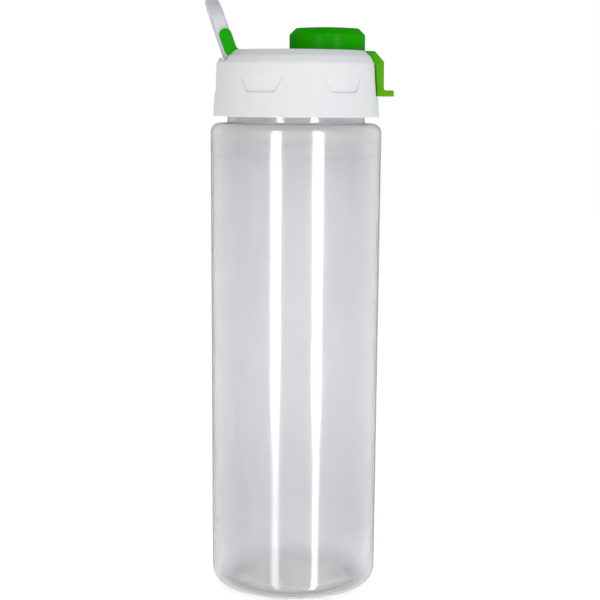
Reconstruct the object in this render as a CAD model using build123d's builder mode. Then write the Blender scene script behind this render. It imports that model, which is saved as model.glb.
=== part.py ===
"""Wide-mouth sports water bottle with a screw lid, a flip cap and a carry loop.

Origin: centre of the base on the bottle's axis.  +Z up, +X towards the flip cap's latch
tab, -X towards the carry loop.  All sizes are in millimetres.
"""
from build123d import *
import os
from math import cos, hypot, radians, sin, tan

os.makedirs("parts", exist_ok=True)

# ---------------------------------------------------------------- bottle
shoulder_z = 201.0          # top of the flat shoulder
shoulder_r = 36.5           # widest radius, just under the shoulder
base_r = 35.5               # radius that the wall tapers to at the base
shoulder_corner_r = 4.0
base_corner_r = 7.8
bottle_wall = 1.5
push_up = 3.5               # hollow under the base
push_up_r = 21.5
foot_step = 2.5             # radial run of the step from the push-up to the foot ring
foot_edge_r = 1.2

# ---------------------------------------------------------------- neck and thread
neck_r = 29.3
neck_root_r = 0.8
thread_height = 1.3
thread_root = 2.2           # axial width of a thread ridge at its root
thread_tip = 1.2
thread_lead = 8.0
thread_starts = 2
thread_turns = 0.9
thread_clear = 0.4          # radial gap between each ridge's tip and the wall it faces
thread_drop = 11.6          # mouth rim down to the start of the neck thread
thread_bite = 0.4           # how deep a ridge's root is sunk into its wall

# ---------------------------------------------------------------- lid stack
lid_gap = 2.8               # bare neck between the shoulder and the lid
lid_height = 27.8
liner_wall = 1.4
liner_drop = 6.7            # lid top down to the liner's roof
liner_roof = 1.8
liner_lift = 1.2            # lid's bottom edge up to the liner's skirt
gasket_thick = 1.8
gasket_width = 3.6
gasket_gap = 0.1            # gasket to the mouth rim
seat_gap = 0.15             # between the liner and the shell

# ---------------------------------------------------------------- lid shell
skirt_wall = 2.9
skirt_draft = 1.5           # how much narrower the wall is under the top chamfer
chamfer_height = 2.5
chamfer_run = 2.6
slope_height = 3.0          # steeper slope between the chamfer and the wall
slope_run = 1.4
chamfer_round = 0.8
slope_round = 3.0
corner_height = 4.5         # sloping corner of the shell's inside, the latch channel and the tab
corner_run = 4.35
plate_thick = 2.3
rim_edge_r = 0.4
grip_count = 6
grip_low = 17.6             # lid top down to the ledge of a grip recess
grip_high = 9.4
grip_depth = 0.5            # at the ledge; it runs out upwards as the wall leans in
grip_low_half = 6.3
grip_high_half = 10.2
grip_corner_r = 1.4

# ---------------------------------------------------------------- flip cap
cap_r = 16.1                # of the round cap over the spout
cap_setback = 0.75          # cap's side back from the front of the lid's flat top
cap_wall = 1.6
cap_height = 9.4            # edge of the crowned top, above the lid
cap_crown = 0.5
cap_bevel = 2.7
bevel_round = 0.9
cap_seat = 0.15             # gap under the cap's skirt
strap_thick = 2.8
strap_drop = 0.1            # strap's top below the lid's top
front_half = 11.2
channel_clear = 0.8
channel_under = 0.3         # gap under the strap
channel_corner = 1.0        # how much smaller the channel's sloping corner is
island_gap = 1.4            # strap's end to the raised ring round the spout
tab_reach = 3.3             # tab's outer face beyond the lid's narrow radius
tab_gap = 0.55              # tab's inner face to the channel floor
tab_low = 19.1              # lid top down to the tab's bottom
tab_lip = 4.3
tab_lip_thick = 2.6
edge_break = 0.5
strap_edge_r = 0.5

# ---------------------------------------------------------------- spout and seal
spout_r = 11.0
spout_wall = 1.6
spout_height = 6.0
spout_hole_gap = 0.3
spout_lip_r = 0.6
seal_gap = 2.2              # seal disc's edge to the inside of the cap's wall
seal_press = 0.15           # gap over the spout's rim
plug_gap = 0.5
plug_taper = 0.5
plug_depth = 3.6
plug_wall = 1.4

# ---------------------------------------------------------------- carry loop and hinge
loop_lean = 19.4            # degrees back from upright
loop_half = 11.2
loop_bar = 3.8
loop_thick = 5.6
loop_length = 16.6          # hinge axis up to the top of the loop
loop_edge_r = 1.3
loop_set_back = 0.35        # loop's middle behind the hinge axis
foot_front = 4.85           # hinge axis forward to the front of the loop's foot
foot_back = 1.95            # hinge axis back to the rear of the loop's foot
foot_thick = 1.1
tenon_half = 7.5
tenon_thick = 3.0
hinge_inset = 4.7           # hinge axis inside the lid's widest radius
hinge_rise = 5.95            # hinge axis above the lid's top
ear_r = 2.6
ear_thick = 2.2
ear_gap = 0.25
ear_heel_r = 3.0
ear_toe_r = 2.5
ear_edge_r = 0.6
pin_r = 1.25
pin_gap = 0.05
pin_in_loop = 3.0
pin_in_ear = 1.5
pin_end_gap = 0.1
notch_drop = 4.5
notch_clear = 0.55
strap_back_gap = 1.9        # loop's front face to the strap's rear edge
rear_half = 10.5

# ---------------------------------------------------------------- cutters
cut_over = 1.0              # how far a cutter runs past the face it opens

# ---------------------------------------------------------------- places worked out from the sizes
lid_z = shoulder_z + lid_gap
top_z = lid_z + lid_height
roof_z = top_z - liner_drop - liner_roof
mouth_z = roof_z - gasket_thick - gasket_gap

liner_bore_r = neck_r + thread_height + thread_clear
liner_r = liner_bore_r + liner_wall
shell_bore_r = liner_r + seat_gap
lid_r = shell_bore_r + skirt_wall
lid_neck_r = lid_r - skirt_draft
top_edge_r = lid_neck_r - slope_run - chamfer_run
wall_top_z = top_z - chamfer_height - slope_height
channel_r = lid_r - skirt_draft
channel_run = corner_run - channel_corner
tab_r = lid_neck_r + tab_reach
far_r = 1.3 * lid_r         # outside every wall of the lid

cap_x = top_edge_r - cap_setback - cap_r
cap_bore_r = cap_r - cap_wall
island_r = cap_bore_r - island_gap
strap_low_z = top_z - strap_drop - strap_thick
channel_z = strap_low_z - channel_under
notch_z = top_z - notch_drop

hinge_x = hinge_inset - lid_r
hinge_z = top_z + hinge_rise
ear_in = loop_half + ear_gap
ear_out = ear_in + ear_thick
notch_half = ear_out + notch_clear

# Direction in the XZ plane, forward out of the leaning loop's face.
lean_out = Vector(cos(radians(loop_lean)), 0, sin(radians(loop_lean)))


def on_loop(offset, z):
    """X of the line that runs parallel to the loop, offset forward of the hinge axis, at height z."""
    start_x = hinge_x + offset * lean_out.X
    start_z = hinge_z + offset * lean_out.Z
    return start_x - (z - start_z) * tan(radians(loop_lean))


strap_back_x = on_loop(loop_thick / 2 - loop_set_back, strap_low_z) + strap_back_gap


def hinge_plane(y, outward):
    """Plane across the hinge axis at y, facing outward along Y (1 or -1)."""
    return Plane(origin=(hinge_x, y, hinge_z), x_dir=(1, 0, 0), z_dir=(0, outward, 0))


def save(builder, name):
    """Label a finished piece and write its STEP file."""
    builder.part.label = name
    export_step(builder.part, f"parts/{name}.step")


def bottle_skin(inset, rim_z, mode):
    """Half-section inside one skin of the bottle, closed on the axis."""
    step_shift = inset * (hypot(foot_step, push_up) - foot_step) / push_up
    with BuildLine() as outline:
        skin = FilletPolyline(
            (0, push_up + inset),
            (push_up_r + step_shift, push_up + inset),
            (push_up_r + foot_step + step_shift, inset),
            (base_r - inset, inset),
            (shoulder_r - inset, shoulder_z - inset),
            (neck_r - inset, shoulder_z - inset),
            (neck_r - inset, rim_z),
            radius=[
                foot_edge_r,
                foot_edge_r,
                base_corner_r - inset,
                shoulder_corner_r - inset,
                neck_root_r + inset,
            ],
        )
        Polyline(skin @ 1, (0, rim_z), skin @ 0)
    make_face(outline.edges(), mode=mode)


# ---------------------------------------------------------------- thread ridges
def ridge(start_z, root_r, tip_r):
    """One helical thread ridge, from its sunk root to its tip."""
    bite = thread_bite if root_r < tip_r else -thread_bite
    half_root = thread_root / 2 + (thread_root - thread_tip) / 2 / thread_height * thread_bite
    middle_r = (root_r + tip_r) / 2
    with BuildPart() as one:
        with BuildLine():
            path = Helix(pitch=thread_lead, height=thread_lead * thread_turns, radius=middle_r)
        section = Plane(origin=path @ 0, x_dir=(1, 0, 0), z_dir=path % 0)
        with BuildSketch(section):
            with BuildLine():
                Polyline(
                    (root_r - bite - middle_r, -half_root),
                    (tip_r - middle_r, -thread_tip / 2),
                    (tip_r - middle_r, thread_tip / 2),
                    (root_r - bite - middle_r, half_root),
                    close=True,
                )
            make_face()
        sweep(path=path, is_frenet=True)
    return one.part.moved(Location((0, 0, start_z)))


thread_z = mouth_z - thread_drop
half_pitch = thread_lead / thread_starts / 2
neck_ridge = ridge(thread_z, neck_r, neck_r + thread_height)
liner_ridge = ridge(thread_z + half_pitch, liner_bore_r, liner_bore_r - thread_height)

# ---------------------------------------------------------------- bottle body
with BuildPart() as bottle_body:
    with BuildSketch(Plane.XZ):
        bottle_skin(0, mouth_z, Mode.ADD)
        bottle_skin(bottle_wall, mouth_z + cut_over, Mode.SUBTRACT)
    revolve(axis=Axis.Z)
    with PolarLocations(0, thread_starts):
        add(neck_ridge)
save(bottle_body, "bottle_body")

# ---------------------------------------------------------------- lid liner with the spout
liner_low_z = lid_z + liner_lift
with BuildPart() as lid_liner:
    with BuildSketch(Plane.XY.offset(liner_low_z)):
        Circle(liner_r)
    extrude(amount=roof_z + liner_roof - liner_low_z)
    with BuildSketch(Plane.XY.offset(liner_low_z)):
        Circle(liner_bore_r)
    extrude(amount=roof_z - liner_low_z, mode=Mode.SUBTRACT)
    with BuildSketch(Plane.XY.offset(roof_z)):
        with Locations((cap_x, 0)):
            Circle(spout_r)
    extrude(amount=top_z + spout_height - roof_z)
    with BuildSketch(Plane.XY.offset(roof_z)):
        with Locations((cap_x, 0)):
            Circle(spout_r - spout_wall)
    extrude(amount=top_z + spout_height - roof_z, mode=Mode.SUBTRACT)
    fillet(lid_liner.edges().group_by(Axis.Z)[-1], spout_lip_r)
    with PolarLocations(0, thread_starts):
        add(liner_ridge)
save(lid_liner, "lid_liner")

# ---------------------------------------------------------------- lid gasket
with BuildPart() as lid_gasket:
    with BuildSketch(Plane.XY.offset(roof_z - gasket_thick)):
        Circle(liner_bore_r - thread_clear / 2)
        Circle(liner_bore_r - thread_clear / 2 - gasket_width, mode=Mode.SUBTRACT)
    extrude(amount=gasket_thick)
save(lid_gasket, "lid_gasket")

# ---------------------------------------------------------------- grip recesses, as cutters
ledge_r = lid_neck_r + skirt_draft * (wall_top_z - top_z + grip_low) / (wall_top_z - lid_z)
with BuildPart() as grip_cutters:
    for step in range(1, grip_count):
        around = Plane.XZ.rotated((0, 0, 90 + step * 360 / grip_count))
        with BuildSketch(around):
            with BuildLine():
                Polyline(
                    (-grip_low_half, top_z - grip_low),
                    (grip_low_half, top_z - grip_low),
                    (grip_high_half, top_z - grip_high),
                    (-grip_high_half, top_z - grip_high),
                    close=True,
                )
            make_face()
            fillet(vertices().group_by(Axis.Y)[0], grip_corner_r)
        extrude(amount=far_r)
    with BuildSketch(Plane.XY.offset(lid_z)):
        Circle(ledge_r - grip_depth)
    extrude(amount=lid_height, mode=Mode.SUBTRACT)

# ---------------------------------------------------------------- latch channel, as a cutter
channel_low_z = top_z - tab_low - channel_clear / 2
with BuildPart() as latch_channel:
    with BuildSketch(Plane.XZ):
        with BuildLine():
            Polyline(
                (cap_x, channel_z),
                (channel_r - channel_run, channel_z),
                (channel_r, channel_z - channel_run),
                (channel_r, channel_low_z),
                (far_r, channel_low_z),
                (far_r, top_z + cut_over),
                (cap_x, top_z + cut_over),
                close=True,
            )
        make_face()
    revolve(axis=Axis.Z)
    with BuildSketch(Plane.XY.offset(lid_z)):
        with Locations((lid_r, 0)):
            Rectangle(2 * lid_r, 2 * (front_half + channel_clear))
    extrude(amount=2 * lid_height, mode=Mode.INTERSECT)
    with BuildSketch(Plane.XY.offset(lid_z)):
        with Locations((cap_x, 0)):
            Circle(island_r)
    extrude(amount=2 * lid_height, mode=Mode.SUBTRACT)


def rear_plan(spread, back_x):
    """Plan of the rear strap, or of its channel when it is spread."""
    taper_x = (strap_back_x + cap_x - cap_r) / 2
    with BuildLine() as outline:
        Polyline(
            (back_x, ear_out + spread),
            (strap_back_x + ear_r + spread, ear_out + spread),
            (taper_x + ear_r + spread, rear_half + spread),
            (cap_x, rear_half + spread),
            (cap_x, -rear_half - spread),
            (taper_x + ear_r + spread, -rear_half - spread),
            (strap_back_x + ear_r + spread, -ear_out - spread),
            (back_x, -ear_out - spread),
            close=True,
        )
    make_face(outline.edges())


with BuildPart() as rear_channel:
    with BuildSketch(Plane.XY.offset(channel_z)):
        rear_plan(notch_clear, -far_r)
        with Locations((cap_x, 0)):
            Circle(island_r, mode=Mode.SUBTRACT)
    extrude(amount=top_z + cut_over - channel_z)

# ---------------------------------------------------------------- lid shell
slab_back_z = top_z - liner_drop + seat_gap
slab_front_z = channel_z - plate_thick + channel_under
slab_r = shell_bore_r - corner_run / 2
notch_front_x = strap_back_x - ear_gap
with BuildPart() as lid_shell:
    with BuildSketch(Plane.XZ):
        with BuildLine():
            wall = FilletPolyline(
                (0, top_z),
                (top_edge_r, top_z),
                (top_edge_r + chamfer_run, top_z - chamfer_height),
                (lid_neck_r, wall_top_z),
                (lid_r, lid_z),
                (shell_bore_r, lid_z),
                radius=[chamfer_round, chamfer_round, slope_round, rim_edge_r],
            )
            Polyline(
                wall @ 1,
                (shell_bore_r, top_z - plate_thick - corner_height),
                (shell_bore_r - corner_run, top_z - plate_thick),
                (0, top_z - plate_thick),
                wall @ 0,
            )
        make_face()
    revolve(axis=Axis.Z)
    with BuildSketch(Plane.XY.offset(slab_back_z)):
        Circle(slab_r)
        with Locations((-lid_r, 0)):
            Rectangle(2 * lid_r, 2 * (notch_half + plate_thick), mode=Mode.INTERSECT)
    extrude(amount=top_z - plate_thick - slab_back_z)
    with BuildSketch(Plane.XY.offset(slab_front_z)):
        Circle(slab_r)
        with Locations((cap_x + spout_r + lid_r, 0)):
            Rectangle(2 * lid_r, 2 * (front_half + channel_clear + cap_wall), mode=Mode.INTERSECT)
    extrude(amount=top_z - plate_thick - slab_front_z)
    add(rear_channel.part, mode=Mode.SUBTRACT)
    add(latch_channel.part, mode=Mode.SUBTRACT)
    add(grip_cutters.part, mode=Mode.SUBTRACT)
    with BuildSketch(Plane.XY.offset(notch_z)):
        with Locations((notch_front_x - lid_r, 0)):
            Rectangle(2 * lid_r, 2 * notch_half)
    extrude(amount=notch_drop + cut_over, mode=Mode.SUBTRACT)
    with BuildSketch(Plane.XY.offset(slab_back_z)):
        with Locations((cap_x, 0)):
            Circle(spout_r + spout_hole_gap)
        with Locations((hinge_x + (foot_front - foot_back) / 2, 0)):
            Rectangle(tenon_thick + seat_gap, 2 * tenon_half + seat_gap)
    extrude(amount=liner_drop, mode=Mode.SUBTRACT)
save(lid_shell, "lid_shell")

# ---------------------------------------------------------------- carry loop
loop_middle = Vector(hinge_x, 0, hinge_z) - lean_out * loop_set_back
loop_face = Plane(origin=loop_middle, x_dir=(0, 1, 0), z_dir=lean_out)
arch_y = loop_length - loop_half
leg_down = (hinge_rise + notch_drop) / cos(radians(loop_lean)) + loop_thick
with BuildPart() as carry_loop:
    with BuildSketch(loop_face):
        with Locations((0, (arch_y - leg_down) / 2)):
            Rectangle(2 * loop_half, arch_y + leg_down)
        with Locations((0, arch_y)):
            Circle(loop_half)
        with Locations((0, (arch_y - leg_down) / 2)):
            Rectangle(2 * (loop_half - loop_bar), arch_y + leg_down, mode=Mode.SUBTRACT)
        with Locations((0, arch_y)):
            Circle(loop_half - loop_bar, mode=Mode.SUBTRACT)
    extrude(amount=loop_thick / 2, both=True)
    fillet(carry_loop.edges().filter_by(GeomType.CIRCLE), loop_edge_r)
    split(bisect_by=Plane.XY.offset(notch_z), keep=Keep.TOP)
    with BuildSketch(Plane.XY.offset(notch_z)):
        with Locations((hinge_x + (foot_front - foot_back) / 2, 0)):
            RectangleRounded(foot_front + foot_back, 2 * loop_half, loop_edge_r)
    extrude(amount=foot_thick)
    with BuildSketch(Plane.XY.offset(slab_back_z)):
        with Locations((hinge_x + (foot_front - foot_back) / 2, 0)):
            Rectangle(tenon_thick, 2 * tenon_half)
    extrude(amount=notch_z - slab_back_z)
    for side in (1, -1):
        with BuildSketch(hinge_plane(side * loop_half, -side)):
            Circle(pin_r)
        extrude(amount=pin_in_loop, mode=Mode.SUBTRACT)
save(carry_loop, "carry_loop")

# ---------------------------------------------------------------- hinge pins
with BuildPart() as hinge_pins:
    for side in (1, -1):
        with BuildSketch(hinge_plane(side * (loop_half - pin_in_loop), side)):
            Circle(pin_r)
        extrude(amount=pin_in_loop + ear_gap + pin_in_ear - pin_end_gap)
save(hinge_pins, "hinge_pins")

# ---------------------------------------------------------------- flip cap: front strap and latch tab
strap_z = top_z - strap_drop
with BuildPart() as latch_strap:
    with BuildSketch(Plane.XZ):
        with BuildLine():
            outer = FilletPolyline(
                (cap_x, strap_z),
                (tab_r - corner_run + edge_break, strap_z),
                (tab_r, top_z - corner_height),
                (tab_r, top_z - tab_low + tab_lip_thick),
                (tab_r + tab_lip, top_z - tab_low + tab_lip_thick),
                (tab_r + tab_lip, top_z - tab_low),
                radius=[edge_break, edge_break, 2 * edge_break, edge_break],
            )
            Polyline(
                outer @ 1,
                (channel_r + tab_gap + edge_break, top_z - tab_low),
                (channel_r + tab_gap, channel_z - channel_run),
                (channel_r + tab_gap - channel_run, strap_low_z),
                (cap_x, strap_low_z),
                outer @ 0,
            )
        make_face()
    revolve(axis=Axis.Z)
    with BuildSketch(Plane.XY.offset(lid_z)):
        with Locations((far_r, 0)):
            Rectangle(2 * far_r, 2 * front_half)
    extrude(amount=2 * lid_height, mode=Mode.INTERSECT)
    with BuildSketch(Plane.XY.offset(lid_z)):
        with Locations((cap_x, 0)):
            Circle(cap_bore_r)
    extrude(amount=2 * lid_height, mode=Mode.SUBTRACT)
    for side in latch_strap.faces().filter_by(Axis.Y):
        fillet(side.edges().filter_by(lambda edge: edge.center().X > tab_r - tab_reach), strap_edge_r)

# ---------------------------------------------------------------- flip cap: rear strap and ears
with BuildPart() as rear_strap:
    with BuildSketch(Plane.XY.offset(strap_low_z)):
        rear_plan(0, strap_back_x)
        with Locations((cap_x, 0)):
            Circle(cap_bore_r, mode=Mode.SUBTRACT)
    extrude(amount=strap_thick)

heel_x = on_loop(-ear_r, strap_low_z)
toe_x = on_loop(ear_r, strap_z)
ear_front_x = strap_back_x + ear_r
with BuildPart() as ears:
    for side in (1, -1):
        with BuildSketch(Plane.XZ.offset(-side * ear_in)):
            with BuildLine():
                left = FilletPolyline(
                    (hinge_x - ear_r * lean_out.X, hinge_z - ear_r * lean_out.Z),
                    (heel_x, strap_low_z),
                    (ear_front_x, strap_low_z),
                    radius=ear_heel_r,
                )
                right = FilletPolyline(
                    (ear_front_x, strap_z),
                    (toe_x, strap_z),
                    (hinge_x + ear_r * lean_out.X, hinge_z + ear_r * lean_out.Z),
                    radius=ear_toe_r,
                )
                Line(left @ 1, right @ 0)
                Line(right @ 1, left @ 0)
            make_face()
            with Locations((hinge_x, hinge_z)):
                Circle(ear_r)
        extrude(amount=-side * ear_thick)
        fillet(ears.faces().sort_by(Axis.Y)[-1 if side > 0 else 0].edges(), ear_edge_r)

# ---------------------------------------------------------------- flip cap
cap_edge_z = top_z + cap_height
with BuildPart() as flip_cap:
    with BuildSketch(Plane.XZ):
        with BuildLine():
            crown = TangentArc(
                (cap_x, cap_edge_z + cap_crown), (cap_x + cap_r - cap_bevel, cap_edge_z), tangent=(1, 0)
            )
            side = FilletPolyline(
                crown @ 1,
                (cap_x + cap_r, cap_edge_z - cap_bevel),
                (cap_x + cap_r, top_z + cap_seat),
                radius=bevel_round,
            )
            Polyline(
                side @ 1,
                (cap_x + cap_bore_r, top_z + cap_seat),
                (cap_x + cap_bore_r, cap_edge_z - cap_bevel),
                (cap_x + cap_bore_r - cap_bevel + cap_wall / 2, cap_edge_z - cap_wall),
                (cap_x, cap_edge_z - cap_wall),
                crown @ 0,
            )
        make_face()
        fillet(vertices().group_by(Axis.Y)[-2], bevel_round)
    revolve(axis=Axis((cap_x, 0, 0), (0, 0, 1)))
    with BuildSketch(Plane.XY.offset(strap_low_z)):
        with Locations((cap_x, 0)):
            Circle(cap_r)
            Circle(cap_bore_r, mode=Mode.SUBTRACT)
            Rectangle(2 * far_r, 2 * rear_half, mode=Mode.INTERSECT)
    extrude(amount=strap_thick + strap_drop + cap_seat + edge_break)
    add(latch_strap.part)
    add(rear_strap.part)
    add(ears.part)
    for side in (1, -1):
        with BuildSketch(hinge_plane(side * ear_in, side)):
            Circle(pin_r + pin_gap)
        extrude(amount=pin_in_ear, mode=Mode.SUBTRACT)
save(flip_cap, "flip_cap")

# ---------------------------------------------------------------- cap seal
seal_top_z = cap_edge_z - cap_wall
rim_z = top_z + spout_height
seal_r = cap_bore_r - seal_gap
plug_r = spout_r - spout_wall - plug_gap
with BuildPart() as cap_seal:
    with BuildSketch(Plane.XZ):
        with BuildLine():
            Polyline(
                (cap_x, seal_top_z),
                (cap_x + seal_r, seal_top_z),
                (cap_x + seal_r, rim_z + seal_press),
                (cap_x + plug_r, rim_z + seal_press),
                (cap_x + plug_r - plug_taper, rim_z - plug_depth),
                (cap_x + plug_r - plug_taper - plug_wall, rim_z - plug_depth),
                (cap_x + plug_r - plug_wall, rim_z + seal_press),
                (cap_x, rim_z + seal_press),
                close=True,
            )
        make_face()
    revolve(axis=Axis((cap_x, 0, 0), (0, 0, 1)))
save(cap_seal, "cap_seal")
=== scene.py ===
"""Looks for the frosted sports bottle: its surfaces, floor, lights and camera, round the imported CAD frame."""

from math import ceil, cos, hypot, pi, radians, sin, tan

import bmesh
import bpy
from mathutils import Matrix, Vector


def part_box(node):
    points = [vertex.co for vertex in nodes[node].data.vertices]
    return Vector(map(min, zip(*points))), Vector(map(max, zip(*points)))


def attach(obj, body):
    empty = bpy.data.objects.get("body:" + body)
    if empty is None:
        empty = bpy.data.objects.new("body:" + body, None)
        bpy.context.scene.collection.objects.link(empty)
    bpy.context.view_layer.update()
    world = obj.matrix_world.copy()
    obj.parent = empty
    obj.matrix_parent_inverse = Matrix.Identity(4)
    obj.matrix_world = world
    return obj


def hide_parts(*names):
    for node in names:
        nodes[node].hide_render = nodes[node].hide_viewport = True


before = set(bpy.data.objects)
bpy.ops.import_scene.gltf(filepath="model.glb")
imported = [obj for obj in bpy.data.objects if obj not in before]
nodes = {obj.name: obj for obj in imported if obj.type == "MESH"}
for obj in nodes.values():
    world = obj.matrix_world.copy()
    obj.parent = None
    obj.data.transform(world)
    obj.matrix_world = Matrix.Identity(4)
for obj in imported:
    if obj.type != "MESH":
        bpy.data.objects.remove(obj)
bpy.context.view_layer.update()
mm = 0.001

# ---------------------------------------------------------------- material parts
noise_low = 0.3             # most of a noise's values lie between these two
noise_high = 0.7
drift_scale = 45            # noise scales, in cells for each metre
gloss_scale = 300
gloss_drift = 0.1           # how much the roughness rises and falls, as a share of it
grain_height = 0.02 * mm
grain_strength = 0.3
edge_samples = 4


def new_material(name):
    """A material and its Principled shader."""
    material = bpy.data.materials.new(name)
    material.use_nodes = True
    shader = next(node for node in material.node_tree.nodes if node.type == "BSDF_PRINCIPLED")
    return material, shader


def noise(tree, place, scale, detail=3.0):
    """A noise texture in the object's own metres; returns its factor."""
    texture = tree.nodes.new("ShaderNodeTexNoise")
    texture.inputs["Scale"].default_value = scale
    texture.inputs["Detail"].default_value = detail
    tree.links.new(place, texture.inputs["Vector"])
    return texture.outputs["Fac"]


def two_colours(tree, factor, dark, light):
    """Two colours over a noise's factor."""
    node = tree.nodes.new("ShaderNodeValToRGB")
    node.color_ramp.elements[0].position = noise_low
    node.color_ramp.elements[0].color = (*dark, 1)
    node.color_ramp.elements[1].position = noise_high
    node.color_ramp.elements[1].color = (*light, 1)
    tree.links.new(factor, node.inputs["Fac"])
    return node.outputs["Color"]


def grey_steps(tree, factor, stops):
    """Grey levels over a factor, from (position, level) pairs."""
    node = tree.nodes.new("ShaderNodeValToRGB")
    for position, shade in stops:
        stop = node.color_ramp.elements.new(position)
        stop.color = (shade, shade, shade, 1)
    for given in (0, -1):
        node.color_ramp.elements.remove(node.color_ramp.elements[given])
    tree.links.new(factor, node.inputs["Fac"])
    return node.outputs["Color"]


def spread(tree, factor, from_low, from_high, low=0.0, high=1.0):
    """A factor's own range stretched to another."""
    node = tree.nodes.new("ShaderNodeMapRange")
    node.inputs["From Min"].default_value = from_low
    node.inputs["From Max"].default_value = from_high
    node.inputs["To Min"].default_value = low
    node.inputs["To Max"].default_value = high
    tree.links.new(factor, node.inputs["Value"])
    return node.outputs["Result"]


def object_place(tree):
    """The point's place in the object's own metres: the whole vector, and a node with its X, Y and Z."""
    whole = tree.nodes["Texture Coordinate"].outputs["Object"]
    parts = tree.nodes.new("ShaderNodeSeparateXYZ")
    tree.links.new(whole, parts.inputs["Vector"])
    return whole, parts


def recolour(tree, shader, factor, colour):
    """Blend the shader's base colour towards another by a factor."""
    node = tree.nodes.new("ShaderNodeMix")
    node.data_type = "RGBA"
    node.inputs["B"].default_value = (*colour, 1)
    tree.links.new(factor, node.inputs["Factor"])
    tree.links.new(shader.inputs["Base Color"].links[0].from_socket, node.inputs["A"])
    tree.links.new(node.outputs["Result"], shader.inputs["Base Color"])


def darken(tree, shader, shade):
    """Multiply the shader's base colour by a grey level."""
    node = tree.nodes.new("ShaderNodeMix")
    node.data_type = "RGBA"
    node.blend_type = "MULTIPLY"
    node.inputs["Factor"].default_value = 1
    tree.links.new(shader.inputs["Base Color"].links[0].from_socket, node.inputs["A"])
    tree.links.new(shade, node.inputs["B"])
    tree.links.new(node.outputs["Result"], shader.inputs["Base Color"])


def moulded(name, light, dark, roughness, grain, edge=0.0, coat=0.0, coat_roughness=0.1):
    """Moulded plastic: a faint drift of colour, uneven gloss, a fine grain, and edges eased by a radius."""
    material, shader = new_material(name)
    tree = material.node_tree
    add, link = tree.nodes.new, tree.links.new
    place = add("ShaderNodeTexCoord").outputs["Object"]
    link(two_colours(tree, noise(tree, place, drift_scale), dark, light), shader.inputs["Base Color"])
    fine = noise(tree, place, grain, detail=4.0)
    gloss = noise(tree, place, gloss_scale)
    smoothest = roughness * (1 - gloss_drift)
    roughest = roughness * (1 + gloss_drift)
    link(spread(tree, gloss, noise_low, noise_high, smoothest, roughest), shader.inputs["Roughness"])
    bump = add("ShaderNodeBump")
    bump.inputs["Strength"].default_value = grain_strength
    bump.inputs["Distance"].default_value = grain_height
    link(fine, bump.inputs["Height"])
    if edge:
        ease = add("ShaderNodeBevel")
        ease.samples = edge_samples
        ease.inputs["Radius"].default_value = edge
        link(ease.outputs["Normal"], bump.inputs["Normal"])
    link(bump.outputs["Normal"], shader.inputs["Normal"])
    shader.inputs["Coat Weight"].default_value = coat
    shader.inputs["Coat Roughness"].default_value = coat_roughness
    return material, shader


# ---------------------------------------------------------------- the bottle's sizes, as in its CAD piece
mouth_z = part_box("bottle_body")[1][2]
neck_height = 20.2 * mm
shoulder_z = mouth_z - neck_height
shoulder_r = 36.5 * mm
base_r = 35.5 * mm
neck_r = 29.3 * mm
wall = 1.5 * mm
push_up = 3.5 * mm
push_up_r = 21.5 * mm
foot_step = 2.5 * mm
foot_edge_r = 1.2 * mm
base_corner_r = 7.8 * mm
shoulder_corner_r = 4.0 * mm
neck_root_r = 0.8 * mm
thread_height = 1.3 * mm
thread_half = 1.1 * mm
thread_flank = 0.5 * mm
thread_lead = 8.0 * mm
thread_starts = 2
thread_turns = 0.9
thread_drop = 11.6 * mm

# ---------------------------------------------------------------- materials
# Tone and clearness of the blow-moulded wall, from the base (0) up to the mouth (1). The tone is darkest at the
# corner of the base, with a darker band a little above it, and the neck is painted lighter than the body, as
# painted light against the shade under the lid. The wall is clear above the base and clouded by the thick
# plastic of the neck.
wall_tone_and_painted_light = ((0.02, 0.75), (0.04, 1.0), (0.13, 0.88), (0.4, 0.98), (0.7, 0.96), (0.9, 0.95), (0.93, 1.0))
wall_clear = ((0.0, 0.9), (0.05, 0.88), (0.16, 0.8), (0.85, 0.8), (0.93, 0.15))
floor_edge_r = base_r - base_corner_r
floor_fade = 1.7 * mm       # inside that edge, the wall's look turns into the floor's
floor_colour = (0.98, 0.965, 0.94)
scatter_depth = 4 * mm
latch_light_depth = 6 * mm        # painted light: the cap is painted lighter and yellower over this last stretch out to the lid's side
latch_painted_light_colour = (0.11, 0.42, 0.001)


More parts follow.
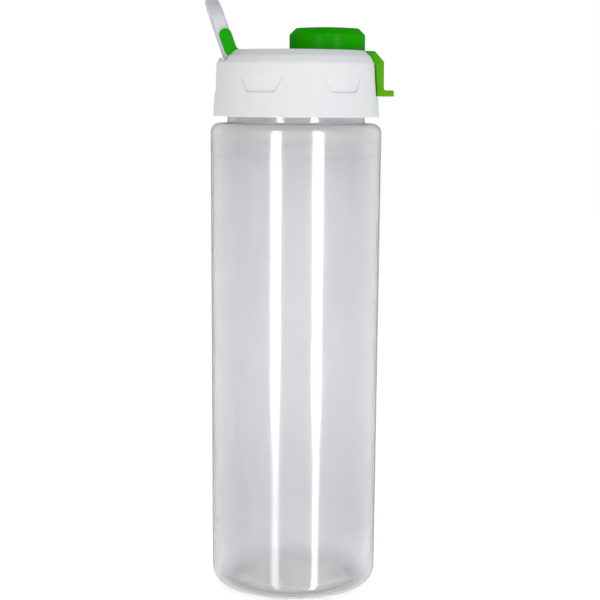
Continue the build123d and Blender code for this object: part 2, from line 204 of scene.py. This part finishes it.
def frosted_plastic():
    """Translucent polypropylene with a glossy skin, its colour painted lighter at the neck against the lid's
    shade and darker at the base corner; the floor of the bottle is opaque, and warmer.
    """
    material, shader = moulded(
        "frosted_body",
        light=(0.955, 0.958, 0.972),
        dark=(0.93, 0.935, 0.952),
        roughness=0.12,
        grain=2500,
        coat=0.8,
        coat_roughness=0.13,
    )
    tree = material.node_tree
    whole, parts = object_place(tree)
    level = spread(tree, parts.outputs["Z"], 0, mouth_z)
    # Painted shade and light by height: darker at the base corner, and the neck painted lighter to offset the
    # shade under the lid.
    darken(tree, shader, grey_steps(tree, level, wall_tone_and_painted_light))
    flat = tree.nodes.new("ShaderNodeVectorMath")
    flat.operation = "MULTIPLY"
    flat.inputs[1].default_value = (1, 1, 0)
    tree.links.new(whole, flat.inputs[0])
    from_axis = tree.nodes.new("ShaderNodeVectorMath")
    from_axis.operation = "LENGTH"
    tree.links.new(flat.outputs["Vector"], from_axis.inputs[0])
    on_floor = spread(tree, from_axis.outputs["Value"], floor_edge_r, floor_edge_r - floor_fade)
    recolour(tree, shader, on_floor, floor_colour)
    clear = tree.nodes.new("ShaderNodeMix")
    clear.inputs["B"].default_value = 0.0
    tree.links.new(on_floor, clear.inputs["Factor"])
    tree.links.new(grey_steps(tree, level, wall_clear), clear.inputs["A"])
    tree.links.new(clear.outputs["Result"], shader.inputs["Transmission Weight"])
    shader.inputs["Subsurface Weight"].default_value = 1.0
    shader.inputs["Subsurface Radius"].default_value = (1, 1, 1)
    shader.inputs["Subsurface Scale"].default_value = scatter_depth
    shader.inputs["IOR"].default_value = 1.49
    shader.inputs["Specular IOR Level"].default_value = 0.15
    shader.inputs["Coat IOR"].default_value = 1.7
    return material


def white_lid():
    """White polypropylene with little shine, its edges eased."""
    material, shader = moulded(
        "lid_white",
        light=(0.835, 0.85, 0.86),
        dark=(0.815, 0.83, 0.845),
        roughness=0.5,
        grain=1800,
        edge=0.35 * mm,
    )
    shader.inputs["Specular IOR Level"].default_value = 0.05
    return material


def white_liner():
    """White polypropylene with more gloss than the lid's."""
    light, dark = (0.82, 0.83, 0.84), (0.80, 0.81, 0.82)
    return moulded("liner_white", light, dark, roughness=0.3, grain=1800)[0]


def grey_shaded_loop():
    """White plastic, painted greyer than the lid's as painted shade on the loop."""
    light, dark = (0.68, 0.70, 0.72), (0.65, 0.67, 0.70)
    return moulded("loop_white", light, dark, roughness=0.4, grain=1800, edge=0.3 * mm)[0]


def green_cap():
    """Bright green plastic; the latch tab is painted yellower and lighter than the cap, as painted light on its
    flat face.
    """
    material, shader = moulded(
        "cap_green",
        light=(0.014, 0.41, 0.0003),
        dark=(0.010, 0.37, 0.0003),
        roughness=0.3,
        grain=1800,
        edge=0.3 * mm,
        coat=0.06,
        coat_roughness=0.3,
    )
    shader.inputs["Specular IOR Level"].default_value = 0
    tree = material.node_tree
    parts = object_place(tree)[1]
    lid_side_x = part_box("lid_shell")[1][0]
    # Painted light: the latch tab's flat face is painted yellower, as if lit more fully by the key.
    latch_painted_light = spread(tree, parts.outputs["X"], lid_side_x - latch_light_depth, lid_side_x)
    recolour(tree, shader, latch_painted_light, latch_painted_light_colour)
    return material


def milky_silicone():
    """Milky silicone, matt."""
    light, dark = (0.7, 0.72, 0.72), (0.66, 0.68, 0.68)
    return moulded("silicone", light, dark, roughness=0.55, grain=1500)[0]


def steel_wire():
    """Drawn stainless wire."""
    light, dark = (0.6, 0.6, 0.61), (0.55, 0.55, 0.56)
    material, shader = moulded("pin_steel", light, dark, roughness=0.25, grain=900)
    shader.inputs["Metallic"].default_value = 1
    return material


frosted = frosted_plastic()
silicone = milky_silicone()
for node, material in {
    "bottle_body": frosted,
    "lid_shell": white_lid(),
    "lid_liner": white_liner(),
    "carry_loop": grey_shaded_loop(),
    "flip_cap": green_cap(),
    "lid_gasket": silicone,
    "cap_seal": silicone,
    "hinge_pins": steel_wire(),
}.items():
    nodes[node].data.materials.clear()
    nodes[node].data.materials.append(material)

# ---------------------------------------------------------------- bottle body, turned as one fine mesh
rim_r = 0.5 * mm
around = 192                # segments round the bottle
row = 1.2 * mm              # longest step along its profile
neck_row = 0.3 * mm         # and on the neck, where the thread is
below_thread = 2 * mm       # the neck's finer rows begin this far under the thread's start
corner_step = radians(9)    # longest turn of one step round a corner
run_in_turns = 0.04         # share of a turn over which a thread rises at its ends
same_radius = 0.01 * mm     # two radii closer than this are the same


def rounded(points, radii):
    """A polyline of (radius, height) points whose inner corners are rounded, in even short steps."""
    path = [Vector(points[0])]
    for before, corner, after, radius in zip(points, points[1:], points[2:], radii):
        before, corner, after = Vector(before), Vector(corner), Vector(after)
        to_before, to_after = (before - corner).normalized(), (after - corner).normalized()
        half = to_before.angle(to_after) / 2
        centre = corner + (to_before + to_after).normalized() * (radius / sin(half))
        start = corner + to_before * (radius / tan(half)) - centre
        sweep = start.angle_signed(corner + to_after * (radius / tan(half)) - centre)
        steps = max(4, round(abs(sweep) / corner_step))
        for step in range(steps + 1):
            path.append(centre + Matrix.Rotation(-sweep * step / steps, 2) @ start)
    path.append(Vector(points[-1]))
    return path


def refined(path, longest):
    """The same path, with its long stretches cut into even steps."""
    out = [path[0]]
    for start, end in zip(path, path[1:]):
        steps = max(1, round((end - start).length / longest))
        out += [start.lerp(end, step / steps) for step in range(1, steps + 1)]
    return out


def thread_rise(angle, z):
    """Height of the neck's thread above its wall."""
    start_z = mouth_z - thread_drop
    rise = 0.0
    for start in range(thread_starts):
        for lap in range(ceil(thread_turns)):
            turns = (angle / (2 * pi) - start / thread_starts) % 1 + lap
            run_in = min(turns, thread_turns - turns) / run_in_turns
            if run_in > 0:
                off = abs(z - start_z - thread_lead * turns)
                rise = max(rise, min(1, run_in) * min(1, max(0, (thread_half - off) / thread_flank)))
    return rise * thread_height


def skin(inset):
    """Half-section of the body, set in from its outside: from the axis underneath up to the neck."""
    shift = inset * (hypot(foot_step, push_up) - foot_step) / push_up
    return rounded(
        [
            (0, push_up + inset),
            (push_up_r + shift, push_up + inset),
            (push_up_r + foot_step + shift, inset),
            (base_r - inset, inset),
            (shoulder_r - inset, shoulder_z - inset),
            (neck_r - inset, shoulder_z - inset),
            (neck_r - inset, mouth_z - rim_r),
        ],
        [foot_edge_r, foot_edge_r, base_corner_r - inset, shoulder_corner_r - inset, neck_root_r + inset],
    )


def rim():
    """The mouth's rounded rim, from just above its outer edge over to just above its inner one."""
    centre_z = mouth_z - rim_r
    outer_r = neck_r - rim_r
    inner_r = neck_r - wall + rim_r
    points = []
    for turn in map(radians, (30, 60, 90)):
        points.append(Vector((outer_r + rim_r * cos(turn), centre_z + rim_r * sin(turn))))
    for turn in map(radians, (0, 30, 60)):
        points.append(Vector((inner_r - rim_r * sin(turn), centre_z + rim_r * cos(turn))))
    return points


def turned(name, profile, lift):
    """A closed mesh turned round Z from a profile whose two ends lie on the axis."""
    form = bmesh.new()
    rings = []
    for radius, z in profile[1:-1]:
        ring = []
        for step in range(around):
            angle = 2 * pi * step / around
            reach = radius + lift(angle, radius, z)
            ring.append(form.verts.new((reach * cos(angle), reach * sin(angle), z)))
        rings.append(ring)
    first, last = form.verts.new((0, 0, profile[0][1])), form.verts.new((0, 0, profile[-1][1]))
    for step in range(around):
        after = (step + 1) % around
        form.faces.new((first, rings[0][after], rings[0][step]))
        form.faces.new((last, rings[-1][step], rings[-1][after]))
        for low, high in zip(rings, rings[1:]):
            form.faces.new((low[step], low[after], high[after], high[step]))
    for face in form.faces:
        face.smooth = True
    bmesh.ops.recalc_face_normals(form, faces=form.faces)
    mesh = bpy.data.meshes.new(name)
    form.to_mesh(mesh)
    form.free()
    piece = bpy.data.objects.new(name, mesh)
    bpy.context.scene.collection.objects.link(piece)
    return piece


def neck_lift(angle, radius, z):
    """The thread's rise on the outside of the neck, and none elsewhere."""
    return thread_rise(angle, z) if abs(radius - neck_r) < same_radius else 0


under_thread_z = mouth_z - thread_drop - below_thread
outside = [point for point in refined(skin(0), row) if point[1] <= under_thread_z]
fine_neck = refined([outside[-1], Vector((neck_r, mouth_z - rim_r))], neck_row)[1:]
inside = refined(skin(wall), row)[::-1]
bottle = turned("bottle_body_fine", outside + fine_neck + rim() + inside, neck_lift)
bottle.data.materials.append(frosted)
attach(bottle, "bottle")
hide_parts("bottle_body")

# ---------------------------------------------------------------- camera
camera_turn = radians(-5)
camera_pitch = radians(7.3)
camera_reach = 0.6885       # horizontal distance from the bottle's axis
camera_height = 0.2129
camera_side = 0.0022        # how far right of the axis it looks
camera_roll = radians(0.4)
camera_lens = 96.0          # millimetres, as is the sensor's width
camera_sensor = 36

right = Vector((cos(camera_turn), sin(camera_turn), 0))
level_back = Vector((sin(camera_turn), -cos(camera_turn), 0)) * cos(camera_pitch)
back = level_back + Vector((0, 0, sin(camera_pitch)))
up = back.cross(right)
target = right * camera_side + Vector((0, 0, camera_height - camera_reach * tan(camera_pitch)))
camera = bpy.data.objects.new("camera", bpy.data.cameras.new("camera"))
camera.data.lens = camera_lens
camera.data.sensor_width = camera_sensor
camera.data.clip_start = 0.01
bpy.context.scene.collection.objects.link(camera)
stand = Matrix.Translation(target + back * (camera_reach / cos(camera_pitch)))
aim = Matrix((right, up, back)).transposed().to_4x4()
camera.matrix_world = stand @ aim @ Matrix.Rotation(camera_roll, 4, "Z")
bpy.context.scene.camera = camera

# ---------------------------------------------------------------- floor
floor_half = 6              # metres from its middle to its edge
floor_glow = 0.62

floor_mesh = bpy.data.meshes.new("floor")
form = bmesh.new()
bmesh.ops.create_grid(form, x_segments=1, y_segments=1, size=floor_half)
form.to_mesh(floor_mesh)
form.free()
floor = bpy.data.objects.new("floor", floor_mesh)
bpy.context.scene.collection.objects.link(floor)
floor_material, floor_shader = new_material("floor")
floor_shader.inputs["Base Color"].default_value = (0.9, 0.9, 0.9, 1)
floor_shader.inputs["Roughness"].default_value = 0.8
floor_shader.inputs["Specular IOR Level"].default_value = 0
floor_shader.inputs["Emission Color"].default_value = (1, 1, 1, 1)
floor_shader.inputs["Emission Strength"].default_value = floor_glow
floor_mesh.materials.append(floor_material)
floor.visible_glossy = False
floor.visible_shadow = False

# ---------------------------------------------------------------- studio
# Radiance of the studio's walls, from behind the camera (0) to behind the bottle (1).
studio_round = ((0.0, 0.2), (0.45, 0.15), (0.62, 0.6), (0.8, 1.0), (0.9, 0.85), (0.97, 0.35))
strip_distance = 1.2
soft_distance = 1.5
soft_aim = 0.13             # height on the bottle that the soft lights face
strips = (                  # name, angle from the camera, width, radiance, height, height of its middle
    ("strip_left", -26, 0.26, 9, 1.2, 0.42),
    ("strip_left_low", -25, 0.2, 4, 1.0, -0.68),
    ("strip_right", 30, 0.27, 11, 1.2, 0.42),
    ("strip_right_low", 30, 0.15, 9, 1.0, -0.68),
)
soft_lights = (             # name, angle from the camera, elevation, size, radiance
    ("key", 11, 3, 1.0, 2.9),
    ("overhead", 0, 70, 1.2, 0.6),
)


def studio_world():
    """Plain white to the camera; to all else grey walls, brightest at a slant behind the bottle."""
    world = bpy.data.worlds.new("studio")
    world.use_nodes = True
    tree = world.node_tree
    tree.nodes.clear()
    output = tree.nodes.new("ShaderNodeOutputWorld")
    seen = tree.nodes.new("ShaderNodeBackground")
    seen.inputs["Color"].default_value = (1, 1, 1, 1)
    seen.inputs["Strength"].default_value = 1.0
    fill = tree.nodes.new("ShaderNodeBackground")
    fill.inputs["Color"].default_value = (0.98, 0.99, 1.0, 1)
    facing = tree.nodes.new("ShaderNodeVectorMath")
    facing.operation = "DOT_PRODUCT"
    facing.inputs[1].default_value = -level_back
    tree.links.new(tree.nodes.new("ShaderNodeTexCoord").outputs["Generated"], facing.inputs[0])
    half_turn = spread(tree, facing.outputs["Value"], -1, 1)
    tree.links.new(grey_steps(tree, half_turn, studio_round), fill.inputs["Strength"])
    mix = tree.nodes.new("ShaderNodeMixShader")
    tree.links.new(tree.nodes.new("ShaderNodeLightPath").outputs["Is Camera Ray"], mix.inputs["Fac"])
    tree.links.new(fill.outputs["Background"], mix.inputs[1])
    tree.links.new(seen.outputs["Background"], mix.inputs[2])
    tree.links.new(mix.outputs["Shader"], output.inputs["Surface"])
    return world


def softbox(name, azimuth, elevation, distance, width, height, radiance, aim_z):
    """A rectangular light of even radiance, placed round the bottle by its angle from the camera."""
    angle = camera_turn + radians(azimuth)
    rise = radians(elevation)
    data = bpy.data.lights.new(name, "AREA")
    data.shape = "RECTANGLE"
    data.size = width
    data.size_y = height
    data.energy = radiance * pi * width * height
    lamp = bpy.data.objects.new(name, data)
    bpy.context.scene.collection.objects.link(lamp)
    outward = Vector((sin(angle) * cos(rise), -cos(angle) * cos(rise), sin(rise)))
    lamp.location = Vector((0, 0, aim_z)) + outward * distance
    lamp.rotation_euler = outward.to_track_quat("Z", "Y").to_euler()
    return lamp


bpy.context.scene.world = studio_world()
bpy.context.scene.view_settings.view_transform = "Standard"
# The strips show only in gloss and through clear plastic, and the soft lights show in neither.
for name, azimuth, width, radiance, tall, middle in strips:
    strip = softbox(name, azimuth, 0, strip_distance, width, tall, radiance, middle)
    strip.visible_diffuse = False
for name, azimuth, elevation, size, radiance in soft_lights:
    lamp = softbox(name, azimuth, elevation, soft_distance, size, size, radiance, soft_aim)
    lamp.visible_glossy = False
    lamp.visible_transmission = False
